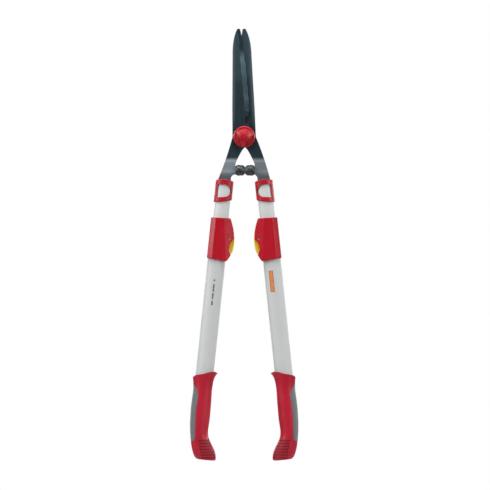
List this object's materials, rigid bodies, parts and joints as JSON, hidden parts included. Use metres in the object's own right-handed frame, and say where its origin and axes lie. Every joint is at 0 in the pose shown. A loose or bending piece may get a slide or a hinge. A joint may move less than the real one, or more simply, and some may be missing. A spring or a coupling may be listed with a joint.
{
  "type": "hedge shears",
  "caption": "Hand hedge shears with telescoping oval tube handles: straight bypass blades on a tension knob pivot, rocker locks on the tubes and two-part grips.",
  "frame": {"origin": "on the pivot axis, in the plane where the two blades meet", "axes": "+Z along the closed shears towards the blade tips, +X to the right as seen from the knob side, +Y away from the knob"},
  "size_m": [0.1758, 0.0338, 0.6996],
  "materials": {
    "blade_steel": "dark blue-grey non-stick coat, satin",
    "zinc_steel": "zinc-plated",
    "bronze": "sintered bronze",
    "red_plastic": "moulded, satin gloss",
    "black_rubber": "moulded rubber",
    "black_plastic": "moulded",
    "inner_aluminium": "anodised, satin",
    "outer_aluminium": "powder coated silver grey",
    "yellow_plastic": "moulded, satin gloss",
    "grey_soft": "soft-touch elastomer"
  },
  "bodies": {
    "rear_half": {"rear_blade": "blade_steel", "pivot_bolt": "zinc_steel", "pivot_bush": "bronze", "front_washer": "zinc_steel", "spring_washer": "zinc_steel", "left_buffer": "black_rubber", "left_ferrule": "red_plastic", "left_tang_insert": "black_plastic", "left_tang_rivets": "zinc_steel", "left_inner_tube": "inner_aluminium", "left_slide_plug": "black_plastic"},
    "front_half": {"front_blade": "blade_steel", "right_buffer": "black_rubber", "right_ferrule": "red_plastic", "right_tang_insert": "black_plastic", "right_tang_rivets": "zinc_steel", "right_inner_tube": "inner_aluminium", "right_slide_plug": "black_plastic"},
    "knob": {"tension_knob": "red_plastic", "tension_nut": "zinc_steel", "knob_cap": "red_plastic"},
    "left_handle": {"left_guide_bush": "black_plastic", "left_outer_tube": "outer_aluminium", "left_lock_housing": "red_plastic", "left_housing_screws": "zinc_steel", "left_lever_pin": "zinc_steel", "left_lever_spring": "zinc_steel", "left_grip": "red_plastic", "left_grip_pad": "grey_soft"},
    "right_handle": {"right_guide_bush": "black_plastic", "right_outer_tube": "outer_aluminium", "right_lock_housing": "red_plastic", "right_housing_screws": "zinc_steel", "right_lever_pin": "zinc_steel", "right_lever_spring": "zinc_steel", "right_grip": "red_plastic", "right_grip_pad": "grey_soft"},
    "left_lever": {"left_lock_lever": "yellow_plastic", "left_lock_stud": "zinc_steel"},
    "right_lever": {"right_lock_lever": "yellow_plastic", "right_lock_stud": "zinc_steel"}
  },
  "joints": [
    {"name": "blade_pivot", "type": "hinge", "parent": "rear_half", "child": "front_half", "pos_m": [0, 0, 0], "axis": [0, -1, 0], "range_deg": [0, 55]},
    {"name": "tension_knob_turn", "type": "hinge", "parent": "rear_half", "child": "knob", "pos_m": [0, -0.01, 0], "axis": [0, -1, 0], "range_deg": [-90, 90]},
    {"name": "left_handle_slide", "type": "slide", "parent": "rear_half", "child": "left_handle", "axis": [-0.1037, 0, -0.9946], "range_m": [0, 0.2]},
    {"name": "right_handle_slide", "type": "slide", "parent": "front_half", "child": "right_handle", "axis": [0.1037, 0, -0.9946], "range_m": [0, 0.2]},
    {"name": "left_lever_press", "type": "hinge", "parent": "left_handle", "child": "left_lever", "pos_m": [-0.0233, 0, -0.16524], "axis": [0, 1, 0], "range_deg": [0, 10], "stiffness_Nm_per_rad": 0.15, "springref_deg": -20.05, "deforming": ["left_lever_spring"]},
    {"name": "right_lever_press", "type": "hinge", "parent": "right_handle", "child": "right_lever", "pos_m": [0.0233, 0, -0.16524], "axis": [0, -1, 0], "range_deg": [0, 10], "stiffness_Nm_per_rad": 0.15, "springref_deg": -20.05, "deforming": ["right_lever_spring"]}
  ]
}
